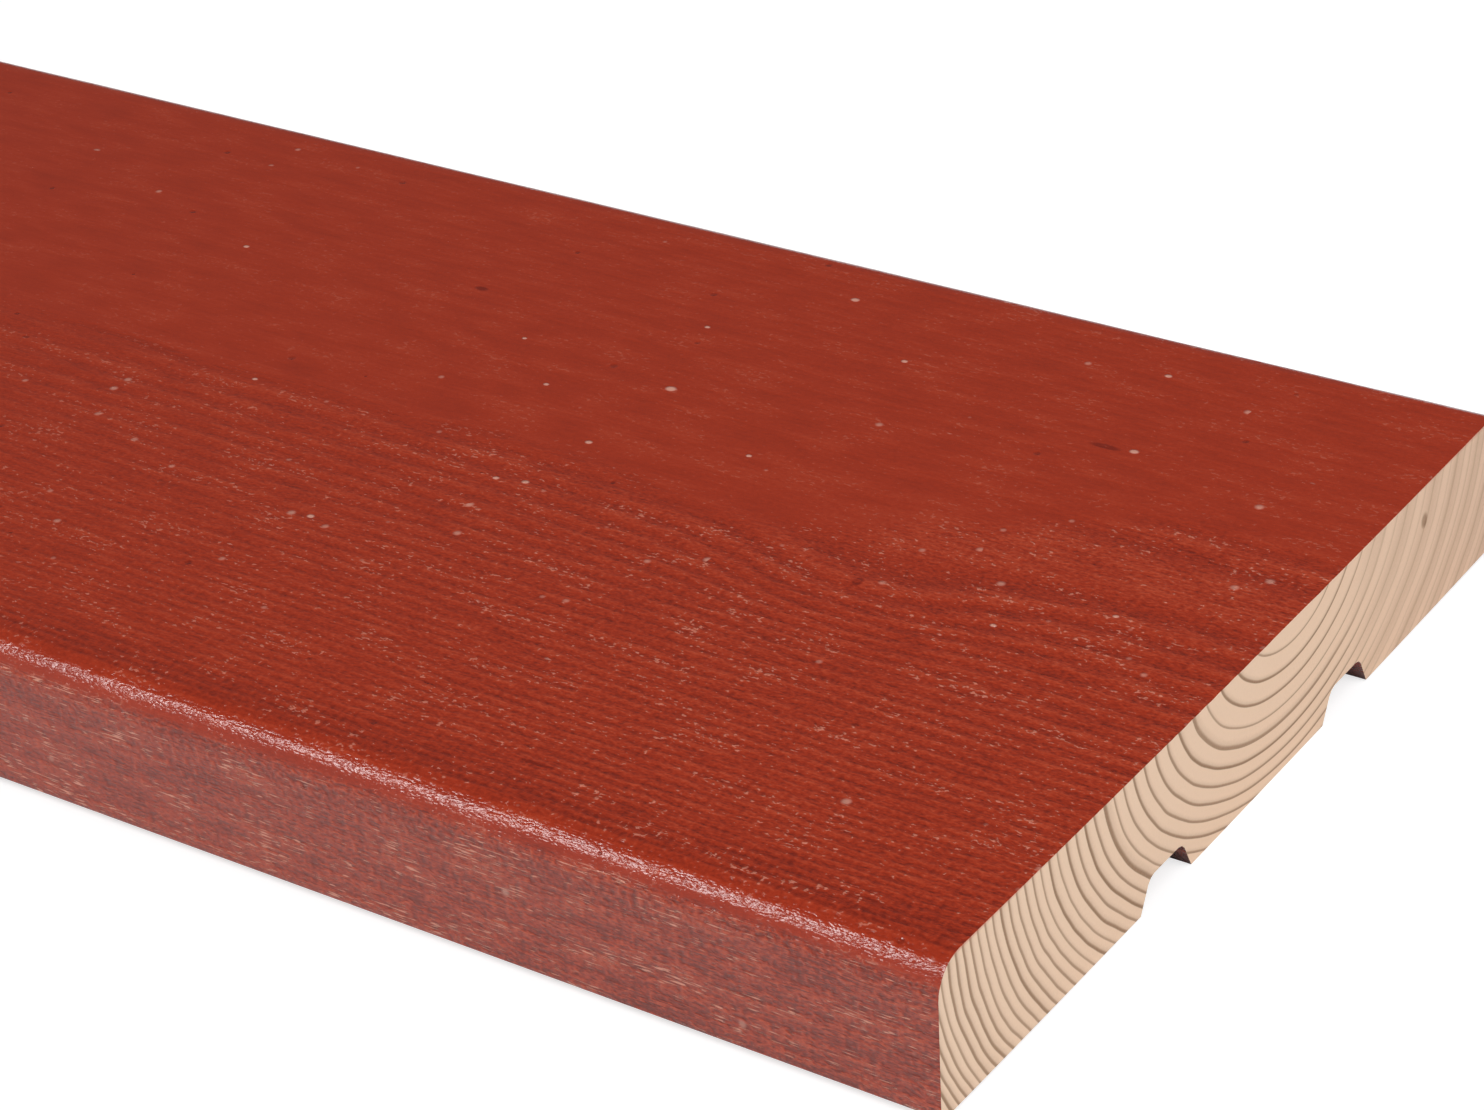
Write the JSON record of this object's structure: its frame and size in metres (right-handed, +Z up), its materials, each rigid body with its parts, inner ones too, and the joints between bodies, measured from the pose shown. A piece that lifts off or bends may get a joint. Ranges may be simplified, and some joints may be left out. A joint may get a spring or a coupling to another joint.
{
  "type": "exterior cladding board",
  "caption": "Flat softwood cladding board, painted red, with rounded face edges and shallow relief grooves along its back.",
  "frame": {"origin": "middle of the footprint on the floor, below the middle of the board", "axes": "+X along the board towards the cut end that shows, +Y across the width, away from the long edge that shows, +Z up out of the painted face"},
  "size_m": [3, 0.145, 0.021],
  "materials": {
    "painted_softwood": "satin red paint over fine-sawn grain, bare cut ends"
  },
  "bodies": {
    "root": {"cladding_board": "painted_softwood"}
  },
  "joints": []
}
